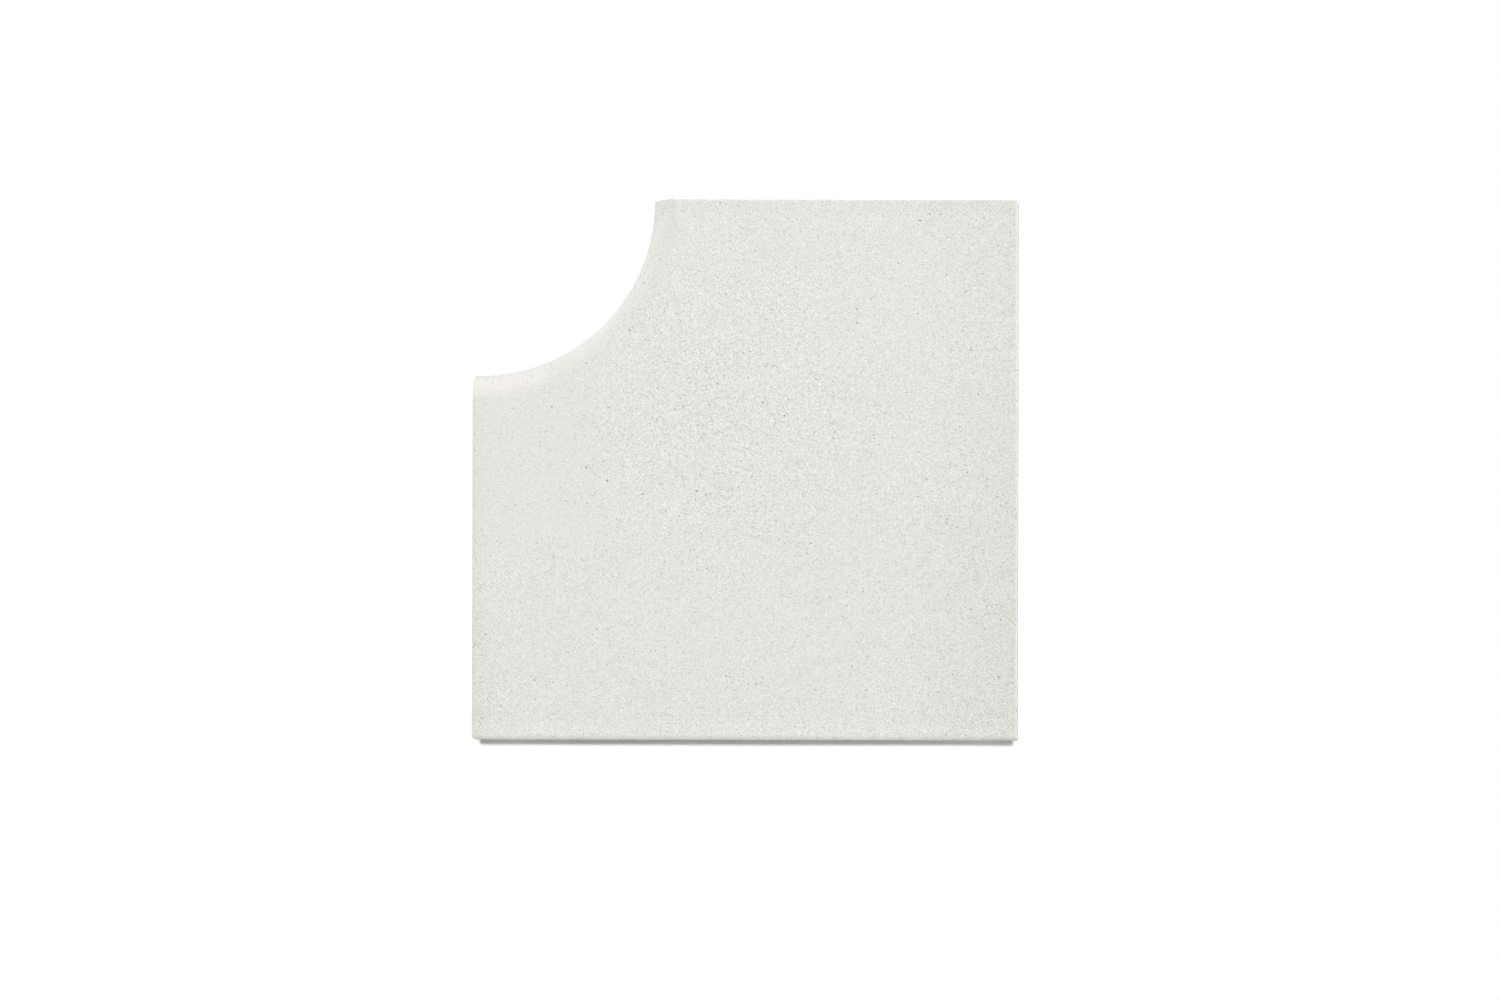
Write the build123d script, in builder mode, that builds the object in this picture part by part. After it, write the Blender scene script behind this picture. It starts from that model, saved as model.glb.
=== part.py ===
from build123d import *
import os

# Pool coping corner stone, cast in concrete as one piece. It caps the pool wall where two
# straight runs of coping meet at an inside corner. The cove in its back left corner
# follows the rounded corner of the pool, and a half-round nose runs along the cove.
#
# Millimetres. The origin is at the middle of the bed, +Z is up towards the walking face,
# +X towards the right outer side and +Y towards the back joint face.

# Driving dimensions
thickness = 45.0  # from the bed to the walking face
leg_width = 300.0  # from the tip of the nose to the outer side, alike on both legs
cove_radius = 145.0  # in plan, to the tip of the nose
left_run_out = 3.0  # straight length of nose between the cove and the left joint face
back_trim = 1.5  # how far the back joint face cuts into the cove's quarter circle
joint_arris = 2.5  # round where the walking face meets a joint face
outer_arris = 4.5  # round where the walking face meets an outer side
bed_arris = 1.0  # round along the bed
joint_corner = 4.0  # upright round where a joint face meets an outer side
outer_corner = 1.5  # upright round where the two outer sides meet

# The nose is a full half-round, and the overall size follows from the cove and the legs
nose_radius = thickness / 2
overall_width = leg_width + cove_radius + left_run_out
overall_depth = leg_width + cove_radius - back_trim

right = overall_width / 2
left = -right
back = overall_depth / 2
front = -back

# Centre of the cove, and the curve behind the nose where the walking face begins
cove_x = left + left_run_out
cove_y = back + back_trim
slab_radius = cove_radius + nose_radius
slab_x = cove_x + slab_radius
slab_y = cove_y - slab_radius

# The nose is carried past both joint faces by its own radius, and cut off flush at the end
nose_left = left - nose_radius
nose_back = cove_y + nose_radius

with BuildPart() as coping_corner_stone:
    # Slab behind the nose, with its upright corners rounded
    with BuildSketch(Plane.XY) as plan:
        Rectangle(overall_width, overall_depth)
        front_left = plan.vertices().sort_by_distance((left, front))[0]
        back_right = plan.vertices().sort_by_distance((right, back))[0]
        fillet([front_left, back_right], joint_corner)
        front_right = plan.vertices().sort_by_distance((right, front))[0]
        fillet(front_right, outer_corner)
        with BuildLine():
            Polyline(
                (cove_x, slab_y),
                (nose_left, slab_y),
                (nose_left, nose_back),
                (slab_x, nose_back),
                (slab_x, cove_y),
            )
            RadiusArc((slab_x, cove_y), (cove_x, slab_y), slab_radius)
        make_face(mode=Mode.SUBTRACT)
    extrude(amount=thickness)

    # Half-round nose along the cove
    with BuildLine(Plane.XY.offset(nose_radius)) as nose_path:
        Line((slab_x, nose_back), (slab_x, cove_y))
        RadiusArc((slab_x, cove_y), (cove_x, slab_y), slab_radius)
        Line((cove_x, slab_y), (nose_left, slab_y))
    nose_start = Plane(origin=(slab_x, nose_back, nose_radius), x_dir=(-1, 0, 0), z_dir=(0, -1, 0))
    with BuildSketch(nose_start) as nose_section:
        with BuildLine():
            Line((0, -nose_radius), (0, nose_radius))
            ThreePointArc((0, nose_radius), (nose_radius, 0), (0, -nose_radius))
        make_face()
    sweep(path=nose_path.wires()[0])

    # Cross sections, left to right and front to back. What lies outside either comes off,
    # which rounds the long edges and cuts the nose flush with the joint faces, where the
    # arrises fade into it.
    reach = 2 * max(overall_width, overall_depth)
    for section_plane, width, low_side_arris, high_side_arris in (
        (Plane.XZ, overall_width, joint_arris, outer_arris),
        (Plane.YZ, overall_depth, outer_arris, joint_arris),
    ):
        with BuildSketch(section_plane) as cross_section:
            with Locations((0, thickness / 2)):
                Rectangle(width, thickness)
            fillet(cross_section.vertices().group_by(Axis.Y)[0], bed_arris)
            low_side = cross_section.vertices().sort_by_distance((-width / 2, thickness))[0]
            fillet(low_side, low_side_arris)
            high_side = cross_section.vertices().sort_by_distance((width / 2, thickness))[0]
            fillet(high_side, high_side_arris)
        extrude(amount=reach / 2, both=True, mode=Mode.INTERSECT)

os.makedirs("parts", exist_ok=True)
coping_corner_stone.part.label = "coping_corner_stone"
export_step(coping_corner_stone.part, "parts/coping_corner_stone.step")
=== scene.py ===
import itertools
import math
import random

import bmesh
import bpy
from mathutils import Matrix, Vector
from mathutils.bvhtree import BVHTree


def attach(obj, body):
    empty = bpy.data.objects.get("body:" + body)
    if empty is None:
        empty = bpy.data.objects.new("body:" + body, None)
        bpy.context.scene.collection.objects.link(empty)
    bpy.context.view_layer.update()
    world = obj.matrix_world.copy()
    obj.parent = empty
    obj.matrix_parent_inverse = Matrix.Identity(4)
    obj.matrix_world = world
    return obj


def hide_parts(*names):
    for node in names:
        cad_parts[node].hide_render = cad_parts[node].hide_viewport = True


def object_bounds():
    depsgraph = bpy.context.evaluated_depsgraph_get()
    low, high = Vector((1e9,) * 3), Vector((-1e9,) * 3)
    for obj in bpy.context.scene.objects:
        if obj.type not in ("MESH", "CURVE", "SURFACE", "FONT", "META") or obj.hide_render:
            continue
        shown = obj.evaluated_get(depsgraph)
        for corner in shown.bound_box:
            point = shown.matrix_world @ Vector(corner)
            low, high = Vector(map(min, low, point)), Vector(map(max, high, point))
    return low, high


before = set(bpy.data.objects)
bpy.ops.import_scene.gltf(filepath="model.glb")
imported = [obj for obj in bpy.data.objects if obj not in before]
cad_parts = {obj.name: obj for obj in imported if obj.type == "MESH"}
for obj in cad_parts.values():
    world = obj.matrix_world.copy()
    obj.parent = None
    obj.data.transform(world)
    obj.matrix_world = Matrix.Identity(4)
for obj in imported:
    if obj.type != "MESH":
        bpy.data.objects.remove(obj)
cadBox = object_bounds()
scene = bpy.context.scene


class Shade:  # wraps a socket, so that shader maths reads as Python
    def __init__(self, tree, socket=None):
        self.tree = tree
        self.socket = socket

    def node(self, kind, settings=None, sockets=None, out=0):
        made = self.tree.nodes.new("ShaderNode" + kind)
        for name, value in (settings or {}).items():
            setattr(made, name, value)
        for name, value in (sockets or {}).items():
            if isinstance(value, Shade):
                self.tree.links.new(value.socket, made.inputs[name])
            else:
                made.inputs[name].default_value = value
        return Shade(self.tree, made.outputs[out] if len(made.outputs) else None)

    def math(self, operation, *values, clamp=False):
        return self.node("Math", {"operation": operation, "use_clamp": clamp}, dict(enumerate(values)))

    def __add__(self, other):
        return self.math("ADD", self, other)

    def __sub__(self, other):
        return self.math("SUBTRACT", self, other)

    def __rsub__(self, other):
        return self.math("SUBTRACT", other, self)

    def __mul__(self, other):
        return self.math("MULTIPLY", self, other)

    __radd__ = __add__
    __rmul__ = __mul__

    def fade(self, low, high):  # 0 at low and 1 at high, smooth between
        return self.node("MapRange", {"interpolation_type": "SMOOTHSTEP"},
                         {"Value": self, "From Min": low, "From Max": high})

    def shift(self, x, y, z):
        return self.node("VectorMath", {"operation": "ADD"}, {0: self, 1: (x, y, z)})

    def parts(self):  # x, y and z of a vector
        made = self.node("SeparateXYZ", None, {0: self})
        return [Shade(self.tree, output) for output in made.socket.node.outputs]

    def tint(self, colour, other, factor):  # colours only
        settings = {"data_type": "RGBA"}
        return self.node("Mix", settings, {0: factor, 6: colour, 7: other}, out=2)


def emptyTree(owner):  # the shader tree of a material or the world, cleared
    owner.use_nodes = True
    owner.node_tree.nodes.clear()
    return Shade(owner.node_tree)


def away(x, y, x0, y0):  # distance from a point, seen from above
    return x.math("SQRT", (x - x0) * (x - x0) + (y - y0) * (y - y0))


def seenRays(shade):  # 1 for a ray that sees the white background: camera, glossy or transmission
    camera, glossy, transmission = (
        shade.node("LightPath", out="Is " + kind + " Ray") for kind in ("Camera", "Glossy", "Transmission"))
    return camera + glossy + transmission


# The stone. Lengths are in metres and match the part's source.
stone = {
    "node": "coping_corner_stone",
    "thickness": 0.045,
    "legWidth": 0.300,
    "coveRadius": 0.145,
    "leftRunOut": 0.003,
    "backTrim": 0.0015,
    "jointArris": 0.0025,
    "outerArris": 0.0045,
    "bedArris": 0.001,
    "jointCorner": 0.004,
    "outerCorner": 0.0015,
    "noseSteps": 28,  # round the nose
    "coveSteps": 72,  # along the cove
    "arrisSteps": 6,
    "gridStep": 0.012,  # cuts the flat faces, so that no triangle is long
    "besideArris": (0.0055, 0.008),  # two more cuts, this far from each side
    "sharpDegrees": 27,  # a bend sharper than this isn't smoothed
}

noseRadius = stone["thickness"] / 2
slabRadius = stone["coveRadius"] + noseRadius
right = (stone["leftRunOut"] + stone["coveRadius"] + stone["legWidth"]) / 2
back = (stone["coveRadius"] + stone["legWidth"] - stone["backTrim"]) / 2
left, front = -right, -back
coveX = left + stone["leftRunOut"]
coveY = back + stone["backTrim"]


def makeObject(name, points, faces):
    mesh = bpy.data.meshes.new(name)
    mesh.from_pydata(points, [], faces)
    build = bmesh.new()
    build.from_mesh(mesh)
    bmesh.ops.recalc_face_normals(build, faces=build.faces)
    build.to_mesh(mesh)
    build.free()
    made = bpy.data.objects.new(name, mesh)
    scene.collection.objects.link(made)
    return made


def arc(centreX, centreY, radius, startDeg, endDeg, steps):
    angles = [math.radians(startDeg + (endDeg - startDeg) * i / steps) for i in range(steps + 1)]
    return [(centreX + radius * math.cos(a), centreY + radius * math.sin(a)) for a in angles]


def slabWithNose():
    steps = stone["noseSteps"]
    # path behind the nose, from the left joint face to the back one, with the way out to the cove
    path = [((left, coveY - slabRadius), (0, 1))]
    for x, y in arc(coveX, coveY, slabRadius, -90, 0, stone["coveSteps"]):
        path.append(((x, y), ((coveX - x) / slabRadius, (coveY - y) / slabRadius)))
    points, nose = [], []
    for (x, y), (outX, outY) in path:
        column = []
        for j in range(steps + 1):
            angle = math.pi / 2 - math.pi * j / steps
            reach = noseRadius * math.cos(angle) if 0 < j < steps else 0.0
            z = noseRadius + noseRadius * math.sin(angle)
            column.append(len(points))
            points.append((x + outX * reach, y + outY * reach, z))
        nose.append(column)
    faces = [(a[j], a[j + 1], b[j + 1], b[j]) for a, b in zip(nose, nose[1:]) for j in range(steps)]
    # the other three corners, clockwise seen from above
    joint, outer = stone["jointCorner"], stone["outerCorner"]
    corners = [
        arc(right - joint, back - joint, joint, 90, 0, stone["arrisSteps"]),
        arc(right - outer, front + outer, outer, 0, -90, stone["arrisSteps"]),
        arc(left + joint, front + joint, joint, -90, -180, stone["arrisSteps"]),
    ]
    uprights = []
    for x, y in sum(corners, []):
        uprights.append((len(points), len(points) + 1))
        points += [(x, y, stone["thickness"]), (x, y, 0.0)]
    faces += [(a[0], a[1], b[1], b[0]) for a, b in zip(uprights, uprights[1:])]
    faces.append(tuple(nose[-1]) + (uprights[0][1], uprights[0][0]))  # back joint face
    faces.append(tuple(reversed(nose[0])) + (uprights[-1][0], uprights[-1][1]))  # left joint face
    faces.append(tuple(reversed([c[0] for c in nose] + [u[0] for u in uprights])))  # walking face
    faces.append(tuple([c[-1] for c in nose] + [u[1] for u in uprights]))  # bed
    return makeObject("copingStone", points, faces)


def sectionBar(lowArris, highArris, half, length, alongY):  # the slab's section with its rounds
    top, bed, steps = stone["thickness"], stone["bedArris"], stone["arrisSteps"]
    outline = (
        arc(-half + bed, bed, bed, 180, 270, steps)
        + arc(half - bed, bed, bed, 270, 360, steps)
        + arc(half - highArris, top - highArris, highArris, 0, 90, steps)
        + arc(-half + lowArris, top - lowArris, lowArris, 90, 180, steps)
    )
    count = len(outline)
    ends = (-length / 2, length / 2)
    points = [(u, end, z) if alongY else (end, u, z) for end in ends for u, z in outline]
    faces = [tuple(range(count)), tuple(range(2 * count - 1, count - 1, -1))]
    faces += [(i, i + count, (i + 1) % count + count, (i + 1) % count) for i in range(count)]
    return makeObject("sectionBar", points, faces)


def carve(target, tool, operation):
    modifier = target.modifiers.new("carve", "BOOLEAN")
    modifier.object, modifier.operation, modifier.solver = tool, operation, "MANIFOLD"
    evaluated = target.evaluated_get(bpy.context.evaluated_depsgraph_get())
    carved = bpy.data.meshes.new_from_object(evaluated)
    target.modifiers.clear()
    target.data = carved
    bpy.data.objects.remove(tool)


def cutGrid(target):
    build = bmesh.new()
    build.from_mesh(target.data)
    for half, normal in ((right, Vector((1, 0, 0))), (back, Vector((0, 1, 0)))):
        count = int(half / stone["gridStep"])
        places = [i * stone["gridStep"] for i in range(-count, count + 1)]
        places += [half - gap for gap in stone["besideArris"]]
        places += [gap - half for gap in stone["besideArris"]]
        for place in places:
            everything = build.verts[:] + build.edges[:] + build.faces[:]
            where = {"plane_co": normal * place, "plane_no": normal, "dist": 1e-6}
            bmesh.ops.bisect_plane(build, geom=everything, **where)
    build.to_mesh(target.data)
    build.free()


def barAcross(half, otherHalf, lowArris, highArris, alongY):
    spare = 0.01  # the bar is longer than the slab by this
    return sectionBar(stone[lowArris], stone[highArris], half, 2 * otherHalf + spare, alongY)


copingStone = slabWithNose()
carve(copingStone, barAcross(right, back, "jointArris", "outerArris", True), "INTERSECT")
carve(copingStone, barAcross(back, right, "outerArris", "jointArris", False), "INTERSECT")
cutGrid(copingStone)
smooth = BVHTree.FromPolygons([v.co for v in copingStone.data.vertices],
                              [tuple(f.vertices) for f in copingStone.data.polygons])
print("stone before its pores:", len(copingStone.data.polygons), "faces")


# Pores and chips. A group is (count, smallest and largest radius, how far out its centre lies in radii).
pores = {
    "seed": 27,
    "pitsUpTo": 0.0006,  # a smaller pore is a plain pit of few faces
    "spacing": 1.25,  # between two centres, in the sum of their radii
    "cell": 0.004,  # side of the cells in which close pores are looked up
    "tries": 40,  # for each pore
    "middle": (-0.045, 0.035, 0.09),  # x, y and reach of the place with the most pores
    "jitter": 0.0015,  # how far a chip may lie off its arris
    "jointReach": 0.15,  # how far chips go along a joint arris, either way from its middle
    "bedReach": 0.2,  # and along an arris of the bed
    "rayHeight": 0.1,  # a ray finds the place of each pore: from this height, or this far below,
    "rayReach": 0.4,  # from this far beside the middle,
    "rayOff": 0.05,  # or from this far out from an arris
    "walkingFace": (5600, 0.00034, 0.0006, 0.15),
    "walkingFaceLarge": (560, 0.0006, 0.0011, 0.25),
    "walkingFaceHoles": (30, 0.0011, 0.0016, 0.35),
    "eachSide": (330, 0.0003, 0.0012, 0.2),
    "bed": (620, 0.0004, 0.0018, 0.3),
    "frontArris": (300, 0.0004, 0.0012, 0.3),
    "rightArris": (220, 0.0004, 0.0010, 0.3),
    "jointArrises": (130, 0.0003, 0.0009, 0.3),
    "bedArrises": (60, 0.0005, 0.0016, 0.3),
    "uprights": (10, 0.0004, 0.0012, 0.3),
}
chance = random.Random(pores["seed"])
taken = {}


def isFree(spot, radius):  # takes the place too, if it is
    cell = tuple(int(c // pores["cell"]) for c in spot)
    for step in itertools.product((-1, 0, 1), repeat=3):
        for other, size in taken.get(tuple(c + s for c, s in zip(cell, step)), ()):
            if (other - spot).length < pores["spacing"] * (radius + size):
                return False
    taken.setdefault(cell, []).append((spot, radius))
    return True


def walkingFaceDensity(spot):  # share of pores kept: most in the middle and on the right, few by the nose
    x0, y0, reach = pores["middle"]
    middle = math.exp(-((spot.x - x0) ** 2 + (spot.y - y0) ** 2) / reach ** 2)
    rightSide = max(spot.x - 0.12, 0.0) / 0.1
    # loose clouds about a hand wide
    cloud = 0.5 + 0.5 * math.sin(31 * spot.x + 2 * math.sin(23 * spot.y)) * math.sin(27 * spot.y - 1.0)
    # 0 on the tip of the nose, 1 from 34 mm behind it
    behindNose = math.hypot(spot.x - coveX, spot.y - coveY) - stone["coveRadius"] - 0.004
    clear = min(max(behindNose / 0.03, 0.0), 1.0)
    return (0.3 + 0.75 * middle + 0.25 * rightSide) * (0.55 + 0.6 * cloud) * (0.15 + 0.85 * clear)


# a larger pore is a ball of twenty faces
golden = (1 + 5 ** 0.5) / 2
ball = [Vector(p).normalized() for p in (
    (-1, golden, 0), (1, golden, 0), (-1, -golden, 0), (1, -golden, 0),
    (0, -1, golden), (0, 1, golden), (0, -1, -golden), (0, 1, -golden),
    (golden, 0, -1), (golden, 0, 1), (-golden, 0, -1), (-golden, 0, 1))]
ballFaces = (
    (0, 11, 5), (0, 5, 1), (0, 1, 7), (0, 7, 10), (0, 10, 11),
    (1, 5, 9), (5, 11, 4), (11, 10, 2), (10, 7, 6), (7, 1, 8),
    (3, 9, 4), (3, 4, 2), (3, 2, 6), (3, 6, 8), (3, 8, 9),
    (4, 9, 5), (2, 4, 11), (6, 2, 10), (8, 6, 7), (9, 8, 1))
# a pit is a short spike of five sides, point down
sides = range(5)
fifth = 1.2566  # of a turn, in radians
pit = [Vector((math.cos(fifth * i), math.sin(fifth * i), 0.6)) * 1.15 for i in sides]
pit.append(Vector((0, 0, -1)))
pitFaces = [(i, (i + 1) % 5, 5) for i in sides] + [(4, 3, 2, 1, 0)]


def addPore(points, faces, spot, normal, radius, lift):
    shape, shapeFaces = (pit, pitFaces) if radius < pores["pitsUpTo"] else (ball, ballFaces)
    turn = normal.to_track_quat("Z", "Y").to_matrix()
    spin = chance.uniform(0, math.tau)
    cos, sin = math.cos(spin), math.sin(spin)
    long = radius * chance.uniform(1.0, 1.35)
    wide = radius * chance.uniform(0.75, 1.0)
    deep = radius * 0.9
    first = len(points)
    for corner in shape:
        reach = chance.uniform(0.86, 1.14)
        x = (corner.x * cos - corner.y * sin) * long
        y = (corner.x * sin + corner.y * cos) * wide
        points.append(spot + turn @ Vector((x, y, corner.z * deep + radius * lift)) * reach)
    faces += [tuple(first + i for i in face) for face in shapeFaces]


def scatter(points, faces, group, aim, density=None):
    count, small, large, lift = pores[group]
    made = 0
    for attempt in range(count * pores["tries"]):
        if made == count:
            break
        origin, direction = aim()
        spot, normal, index, distance = smooth.ray_cast(origin, direction.normalized())
        if spot is None or (density and chance.random() > density(spot)):
            continue
        radius = small + (large - small) * chance.random() ** 2
        if isFree(spot, radius):
            addPore(points, faces, spot, normal, radius, lift)
            made += 1


def across(half):
    return chance.uniform(-half, half)


# Each aim gives a point outside the stone and the way to look from it
def aimAtWalkingFace():
    return Vector((across(right), across(back), pores["rayHeight"])), Vector((0, 0, -1))


def aimAtBed():
    return Vector((across(right), across(back), -pores["rayHeight"])), Vector((0, 0, 1))


def aimAtSide(outX, outY):
    middle = stone["thickness"] / 2

    def aim():
        x = outX * pores["rayReach"] or across(right)
        y = outY * pores["rayReach"] or across(back)
        return Vector((x, y, middle + across(middle))), Vector((-outX, -outY, 0))
    return aim


def aimAtEdge(middle, out, lengthX=0.0, lengthY=0.0, lengthZ=0.0):
    def aim():
        x = middle[0] + across(lengthX) + across(pores["jitter"])
        y = middle[1] + across(lengthY) + across(pores["jitter"])
        z = middle[2] + across(lengthZ)
        return Vector((x, y, z)) + Vector(out) * pores["rayOff"], -Vector(out)
    return aim


def poreTool():
    points, faces = [], []
    top, middle = stone["thickness"], stone["thickness"] / 2
    jointReach, bedReach = pores["jointReach"], pores["bedReach"]
    jointMiddle = 0.07  # how far the middle of a joint face is from the stone's, about
    for group in ("walkingFaceHoles", "walkingFaceLarge", "walkingFace"):
        scatter(points, faces, group, aimAtWalkingFace, walkingFaceDensity)
    scatter(points, faces, "bed", aimAtBed)
    for side in (-1, 1):
        scatter(points, faces, "eachSide", aimAtSide(side, 0))
        scatter(points, faces, "eachSide", aimAtSide(0, side))
    scatter(points, faces, "frontArris", aimAtEdge((0, front, top), (0, -1, 1), lengthX=right))
    scatter(points, faces, "rightArris", aimAtEdge((right, 0, top), (1, 0, 1), lengthY=back))
    leftMiddle, backMiddle = (left, -jointMiddle), (jointMiddle, back)
    scatter(points, faces, "jointArrises", aimAtEdge((*leftMiddle, top), (-1, 0, 1), lengthY=jointReach))
    scatter(points, faces, "jointArrises", aimAtEdge((*backMiddle, top), (0, 1, 1), lengthX=jointReach))
    scatter(points, faces, "bedArrises", aimAtEdge((0, front, 0), (0, -1, -1), lengthX=bedReach))
    scatter(points, faces, "bedArrises", aimAtEdge((right, 0, 0), (1, 0, -1), lengthY=bedReach))
    scatter(points, faces, "bedArrises", aimAtEdge((*leftMiddle, 0), (-1, 0, -1), lengthY=bedReach))
    scatter(points, faces, "bedArrises", aimAtEdge((*backMiddle, 0), (0, 1, -1), lengthX=bedReach))
    for x, y in ((left, front), (right, front), (right, back)):
        out = (math.copysign(1, x), math.copysign(1, y), 0)
        scatter(points, faces, "uprights", aimAtEdge((x, y, middle), out, lengthZ=middle))
    print("pores and chips:", sum(len(spots) for spots in taken.values()))
    return makeObject("poreTool", points, faces)


carve(copingStone, poreTool(), "DIFFERENCE")
print("stone with its pores:", len(copingStone.data.polygons), "faces")


# The sheet that the bake uses has one chart for each side of the stone and one for the nose
charts = {  # where each chart's origin goes on the sheet, in metres
    "sheet": 0.93,  # the sheet's own side
    "top": (0.23, 0.23),
    "bed": (0.695, 0.23),
    "left": (0.23, 0.47),
    "right": (0.695, 0.47),
    "front": (0.23, 0.53),
    "back": (0.695, 0.53),
    "nose": (0.02, 0.65),
}


def chartOf(centre, normal):
    nearly = 1e-5
    fromMiddle = math.hypot(centre.x - coveX, centre.y - coveY)
    inCurve = fromMiddle < slabRadius + nearly and centre.x > coveX and centre.y < coveY
    inLeftEnd = centre.x < coveX and centre.y > coveY - slabRadius
    inBackEnd = centre.y > coveY and centre.x < coveX + slabRadius
    onLeftJoint = normal.x < -0.999 and centre.x < left + nearly
    onBackJoint = normal.y > 0.999 and centre.y > back - nearly
    if (inCurve or inLeftEnd or inBackEnd) and not (onLeftJoint or onBackJoint):
        return "nose"
    axis = max(range(3), key=lambda i: abs(normal[i]))
    return (("left", "right"), ("front", "back"), ("bed", "top"))[axis][normal[axis] > 0]


def unrollNose(spot):
    if spot.x < coveX:
        along = spot.x - coveX
        out = spot.y - (coveY - slabRadius)
    elif spot.y > coveY:
        along = slabRadius * math.pi / 2 + spot.y - coveY
        out = coveX + slabRadius - spot.x
    else:
        along = slabRadius * (math.pi / 2 + math.atan2(spot.y - coveY, spot.x - coveX))
        out = slabRadius - math.hypot(spot.x - coveX, spot.y - coveY)
    return along, noseRadius * math.atan2(spot.z - noseRadius, out)


def layOut(spot, chart):
    if chart == "nose":
        u, v = unrollNose(spot)
    else:
        u = spot.y if chart in ("left", "right") else spot.x
        v = spot.y if chart in ("top", "bed") else spot.z
    u0, v0 = charts[chart]
    return (u0 + u) / charts["sheet"], (v0 + v) / charts["sheet"]


def finishMesh(target):
    mesh = target.data
    # how far each point lies below the smooth surface, for the shade inside a pore
    depth = mesh.attributes.new("poreDepth", "FLOAT", "POINT")
    depth.data.foreach_set("value", [smooth.find_nearest(v.co)[3] for v in mesh.vertices])
    # a face goes to the chart of the smooth face that it lies on
    chartOfFace = {}
    flat = []
    for face in mesh.polygons:
        spot, normal, index, distance = smooth.find_nearest(face.center)
        if index not in chartOfFace:
            chartOfFace[index] = chartOf(spot, normal)
        for corner in face.vertices:
            flat += layOut(mesh.vertices[corner].co, chartOfFace[index])
    mesh.uv_layers.new(name="OFBake").data.foreach_set("uv", flat)
    mesh.shade_smooth()
    mesh.set_sharp_from_angle(angle=math.radians(stone["sharpDegrees"]))


finishMesh(copingStone)
print("stone laid out for the bake")

concrete = {
    "colour": (0.768, 0.777, 0.729),
    "rimLightColour": (0.868, 0.876, 0.834),  # the rounded edge is paler where it turns down, which is painted light
    "warmLightColour": (0.808, 0.796, 0.757),  # and warmer at its left end, and paler there, which is painted light
    "sandScale": 1300,  # one over the size of the sand in metres, and so on for the others
    "pitScale": 560,
    "mottleScale": 75,
    "patchScale": 22,
    "cloudScale": 14,
    "sandTone": 0.73,
    "cloudTone": 0.04,
    "mottleTone": 0.03,
    "bedCloudTone": 0.16,  # the bed was struck off, not moulded, so it is cloudier
    "bedMottleTone": 0.08,
    "pitShade": 0.40,  # painted shade of pits too small to be cut
    "poreShade": 0.45,  # how far painted shade darkens the inside of a pore
    "poreDepth": (0.00004, 0.0005),  # where that starts and where it is full
    "sideShade": 0.14,  # painted shade on the upright faces
    "arrisLight": 0.06,  # and painted light on the arrises
    "frontTone": 0.025,  # a pale band along the front edge
    "edgeTone": 0.018,  # the face darkens towards the other edges
    "rightShade": 0.036,  # and more so over a hand's width on the right, which is painted shade
    "cornerShade": 0.022,  # and in the corner at the front left, which is painted shade too
    "noseTone": 0.028,
    "arrisHighlightAndShade": 0.08,  # a painted highlight along the right arris, with a line of painted shade outside it
    # how much the sand shows all over, and how much more or less by place
    "coarse": 0.69,
    "coarseMiddle": 0.34,
    "coarseRight": 0.14,
    "coarseFront": 0.10,
    "coarseBackLeft": -0.20,
    "coarsePatches": 0.4,
    "coarseNose": -0.12,
    "roughness": 0.9,
    "roughnessPlay": 0.1,
    "specular": 0.25,
    "bumpStrength": 0.9,
    "reliefHeight": 0.00025,
}


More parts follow.
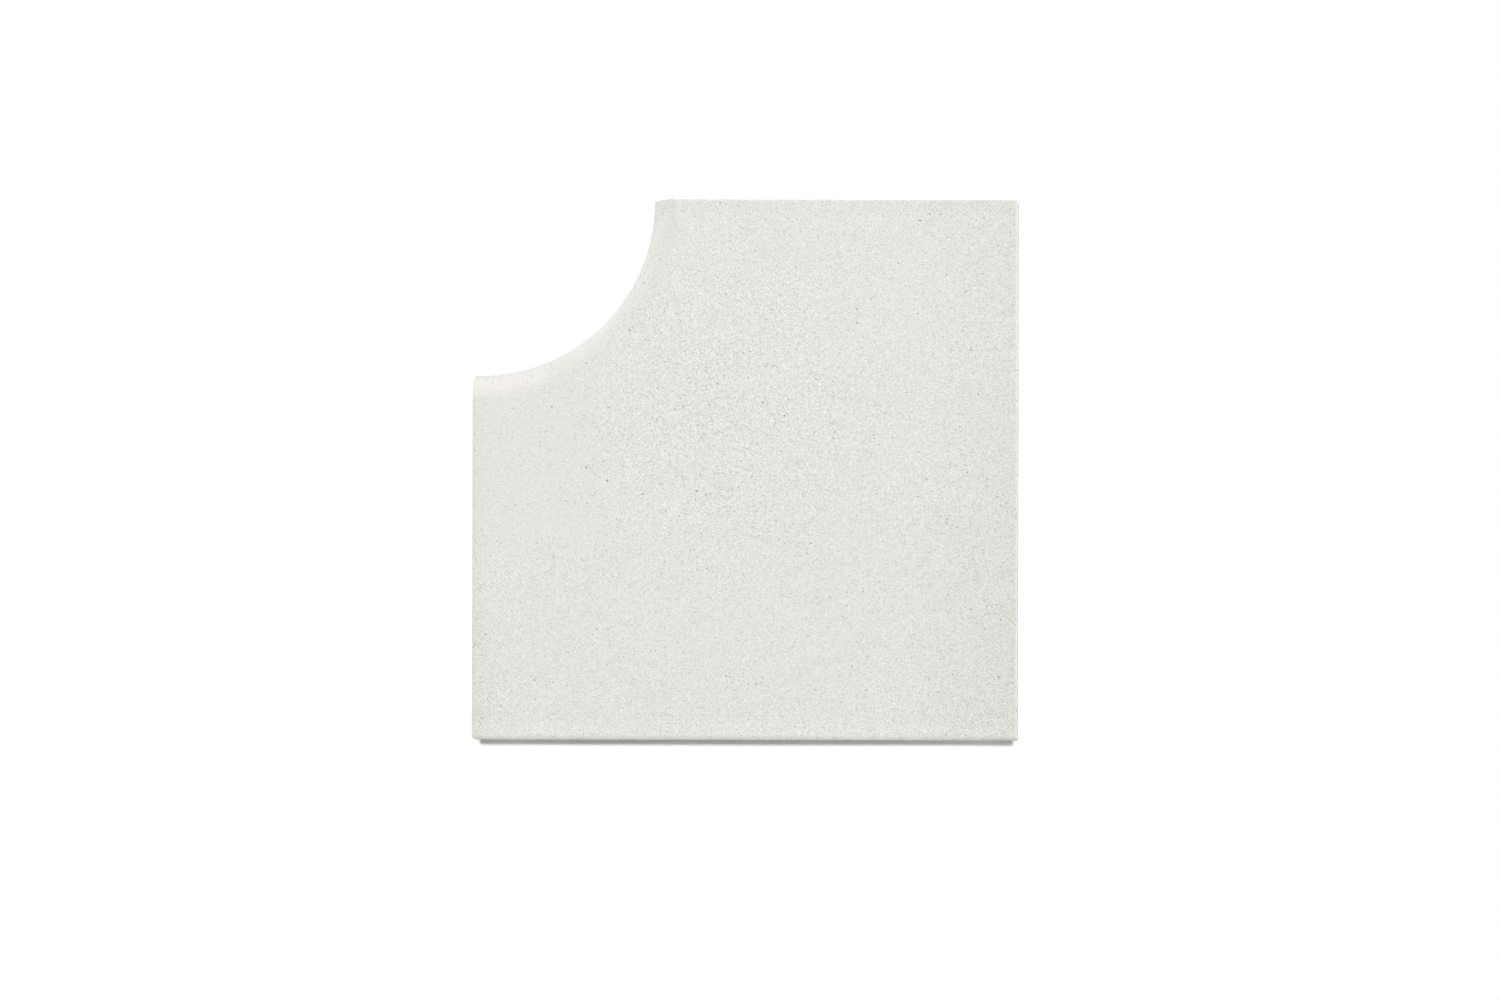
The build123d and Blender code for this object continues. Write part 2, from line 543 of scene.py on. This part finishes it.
def castConcrete():
    material = bpy.data.materials.new("castConcrete")
    shade = emptyTree(material)
    spot = shade.node("TexCoord", out="Object")
    x, y, z = spot.parts()
    facing = shade.math("ABSOLUTE", shade.node("TexCoord", out="Normal").parts()[2])  # 1 on a level face

    def noiseAt(scale, detail, rough, offset):
        sockets = {"Vector": spot.shift(*offset), "Scale": scale, "Detail": detail, "Roughness": rough}
        return shade.node("TexNoise", None, sockets)

    # bands and places, each 0 outside and about 1 inside
    nose = (away(x, y, coveX, coveY) - stone["coveRadius"]).fade(0.024, 0.012)
    # painted light: the nose paler where it turns down
    litRim = nose * z.fade(0.0425, 0.0285)
    # painted light: the left end of the nose paler, where it faces the back
    litLeftEnd = nose * x.fade(-0.150, -0.170)
    onBed = z.fade(0.0015, 0.0005)
    frontBand = y.fade(front + 0.018, front + 0.009)
    edges = 1 - x.fade(left, left + 0.018) * x.fade(right, right - 0.024) * y.fade(back, back - 0.018)
    # painted shade over the right side, most at the front, and in the front left corner
    shadedRightBand = x.fade(right - 0.11, right - 0.01) * (0.75 + 0.55 * y.fade(0.10, -0.20))
    shadedLeftCorner = x.fade(left + 0.05, left) * y.fade(-0.08, -0.19)
    backLeft = x.fade(-0.08, -0.15) * y.fade(-0.10, -0.02)

    # where the sand shows more: the middle, the right side and the front
    coarse = concrete["coarse"] + concrete["coarseMiddle"] * away(x, y, -0.01, 0.05).fade(0.19, 0.03)
    coarse = coarse + concrete["coarseRight"] * x.fade(0.09, 0.19)
    coarse = coarse + concrete["coarseFront"] * y.fade(-0.14, -0.20)
    coarse = coarse + concrete["coarseBackLeft"] * backLeft
    patches = noiseAt(concrete["patchScale"], 2, 0.5, (0, 7.7, 2))
    coarse = coarse + concrete["coarsePatches"] * (patches - 0.5)
    coarse = coarse * (1 + concrete["coarseNose"] * nose)

    cloud = noiseAt(concrete["cloudScale"], 4, 0.55, (3.1, 0, 0))
    mottle = noiseAt(concrete["mottleScale"], 3, 0.6, (0, 5.2, 0))
    sand = noiseAt(concrete["sandScale"], 0, 0.5, (0, 0, 1.7))
    tone = 1 + (sand - 0.5) * concrete["sandTone"] * coarse
    tone = tone + (cloud - 0.5) * (concrete["cloudTone"] + concrete["bedCloudTone"] * onBed)
    tone = tone + (mottle - 0.5) * (concrete["mottleTone"] + concrete["bedMottleTone"] * onBed)

    # a pit in some of the cells, and in more of them where the sand is coarse, painted dark as shade
    cells = {"Vector": spot.shift(0.5, 0, 0), "Scale": concrete["pitScale"], "Randomness": 1.0}
    fromCentre = shade.node("TexVoronoi", {"feature": "F1"}, cells)
    cellColour = shade.node("TexVoronoi", {"feature": "F1"}, cells, out=1)
    pick = shade.node("SeparateColor", None, {0: cellColour})
    pits = fromCentre.fade(0.34, 0.16) * (pick + coarse * 0.25).fade(1.01, 1.06)
    tone = tone - concrete["pitShade"] * pits
    # painted shade inside each cut pore, darker where it is deeper
    depth = shade.node("Attribute", {"attribute_name": "poreDepth"}, out="Fac")
    tone = tone * (1 - concrete["poreShade"] * depth.fade(*concrete["poreDepth"]))

    tone = tone * (1 + concrete["frontTone"] * frontBand - concrete["edgeTone"] * edges)
    # painted shade on the right and in the front left corner
    tone = tone * (1 - concrete["rightShade"] * shadedRightBand - concrete["cornerShade"] * shadedLeftCorner)
    tone = tone * (1 + concrete["noseTone"] * nose * z.fade(0.0446, 0.042))
    # painted shade on the upright faces and the steep part of each arris
    side = facing.fade(0.45, 0.15)
    # painted light on the rounded arrises
    litArris = facing.fade(0.98, 0.80) * facing.fade(0.15, 0.45)
    tone = tone * (1 + (concrete["arrisLight"] * litArris - concrete["sideShade"] * side) * (1 - nose))
    # a painted highlight along the right arris, and painted shade just outside it
    paintedHighlightLine = facing.fade(0.97, 0.90) * facing.fade(0.74, 0.82)
    paintedShadeLine = facing.fade(0.78, 0.68) * facing.fade(0.42, 0.54)
    onRightArris = x.fade(right - 0.0045, right - 0.0040)
    tone = tone * (1 + concrete["arrisHighlightAndShade"] * (paintedHighlightLine - 2 * paintedShadeLine) * onRightArris)

    # the nose's painted light: paler and warmer at its left end, paler where it turns down
    base = shade.tint(concrete["colour"] + (1,), concrete["warmLightColour"] + (1,), litLeftEnd)
    base = shade.tint(base, concrete["rimLightColour"] + (1,), litRim)
    toned = shade.node("VectorMath", {"operation": "SCALE"}, {0: base, "Scale": tone})
    height = sand * 0.9 + mottle * (0.5 + 3 * onBed) - pits * 0.6
    bump = shade.node("Bump", None, {
        "Strength": concrete["bumpStrength"], "Distance": concrete["reliefHeight"], "Height": height})
    surface = shade.node("BsdfPrincipled", None, {
        "Base Color": toned,
        "Roughness": concrete["roughness"] + concrete["roughnessPlay"] * (mottle - 0.5),
        "Normal": bump,
        "Specular IOR Level": concrete["specular"],
    })
    shade.node("OutputMaterial", None, {"Surface": surface})
    return material


copingStone.data.materials.clear()
copingStone.data.materials.append(castConcrete())
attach(copingStone, "root")
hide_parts(stone["node"])
print("concrete done")

studio = {
    "floorSize": 14.0,
    "floorGap": 0.0002,  # between the bed and the floor
    "floorBounce": 0.85,  # the pale floor, as the stone sees it
    "floorWhite": 1.065,  # the same floor, as the camera sees it
    "shadowWidth": (0.01, 0.05),  # the floor turns plain white between these distances from the stone
    "ambient": 0.05,
    # name: (share of full light on the walking face, azimuth from the back, elevation, distance, size)
    "lamps": {
        "keyLamp": (0.655, 6, 78.2, 6.0, 0.5),
        "leftLamp": (0.11, 90, 27, 6.0, 2.0),
        "rightLamp": (0.11, -90, 14, 6.0, 2.0),
        "backLamp": (0.067, 0, 20, 6.0, 2.0),
        "frontLamp": (0.021, 180, 12, 6.0, 2.0),
    },
    # found from the photo's outline
    "cameraLens": 40.334,
    "cameraHeight": 1.375,  # over the walking face
    "cameraSensor": 36.0,
    "cameraOffset": (0.00358, -0.02471),
    "cameraTurn": 0.00205,
}


def floorMaterial():
    material = bpy.data.materials.new("paleFloor")
    shade = emptyTree(material)
    shown = seenRays(shade).fade(0.0, 1.0)
    level = studio["floorBounce"] + (studio["floorWhite"] - studio["floorBounce"]) * shown
    colour = shade.node("CombineColor", None, {0: level, 1: level, 2: level})
    x, y = shade.node("TexCoord", out="Object").parts()[:2]
    outside = shade.math("MAXIMUM", shade.math("ABSOLUTE", x) - right, shade.math("ABSOLUTE", y) - back)
    white = shade.node("Emission", None, {"Color": (1, 1, 1, 1), "Strength": 1.0})
    near = shade.node("BsdfDiffuse", None, {"Color": colour})
    plain = outside.fade(*studio["shadowWidth"]) * shown
    surface = shade.node("MixShader", None, {0: plain, 1: near, 2: white})
    # open under the bed and to a camera below, so that the bed can be seen and is lit
    inset, soft = 0.0025, 0.0005
    fromCove = away(x, y, coveX, coveY) - slabRadius
    under = outside.fade(-inset, -inset - soft) * fromCove.fade(inset, inset + soft)
    behind = shade.node("LightPath", out="Is Camera Ray") * shade.node("NewGeometry", out="Backfacing")
    clear = shade.node("BsdfTransparent", None, {"Color": (1, 1, 1, 1)})
    surface = shade.node("MixShader", None, {0: (under + behind).fade(0.0, 1.0), 1: surface, 2: clear})
    shade.node("OutputMaterial", None, {"Surface": surface})
    return material


def makeFloor():
    half = studio["floorSize"] / 2
    corners = [(-half, -half, 0), (half, -half, 0), (half, half, 0), (-half, half, 0)]
    floor = makeObject("floor", corners, [(0, 1, 2, 3)])
    floor.location.z = cadBox[0].z - studio["floorGap"]
    floor.data.materials.append(floorMaterial())


def makeLamps():
    for name, (share, azimuth, elevation, distance, size) in studio["lamps"].items():
        lamp = bpy.data.lights.new(name, "AREA")
        lamp.shape, lamp.size = "DISK", size
        a, e = math.radians(azimuth), math.radians(elevation)
        lamp.energy = share / math.sin(e) * (math.pi * distance) ** 2
        toLamp = Vector((-math.sin(a) * math.cos(e), math.cos(a) * math.cos(e), math.sin(e)))
        made = bpy.data.objects.new(name, lamp)
        made.location = toLamp * distance
        made.rotation_euler = toLamp.to_track_quat("Z", "Y").to_euler()
        scene.collection.objects.link(made)


def makeSky():
    scene.world = bpy.data.worlds.new("studioWorld")
    shade = emptyTree(scene.world)
    # white to the camera, and white all through the lower half, which lights the bed from below
    lower = shade.node("TexCoord", out="Generated").parts()[2].fade(-0.02, -0.04)
    shown = (seenRays(shade) + lower).fade(0.0, 1.0)
    level = studio["ambient"] + (1 - studio["ambient"]) * shown
    sky = shade.node("Background", None, {"Color": (1, 1, 1, 1), "Strength": level})
    shade.node("OutputWorld", None, {"Surface": sky})


makeFloor()
makeLamps()
makeSky()

# straight above the stone, looking down
camera = bpy.data.cameras.new("camera")
camera.lens, camera.sensor_width = studio["cameraLens"], studio["cameraSensor"]
camera.clip_end = 50.0
cameraObject = bpy.data.objects.new("camera", camera)
cameraObject.location = (*studio["cameraOffset"], stone["thickness"] + studio["cameraHeight"])
cameraObject.rotation_euler.z = studio["cameraTurn"]
scene.collection.objects.link(cameraObject)
scene.camera = cameraObject
scene.view_settings.view_transform = "Standard"
print("studio and camera done")
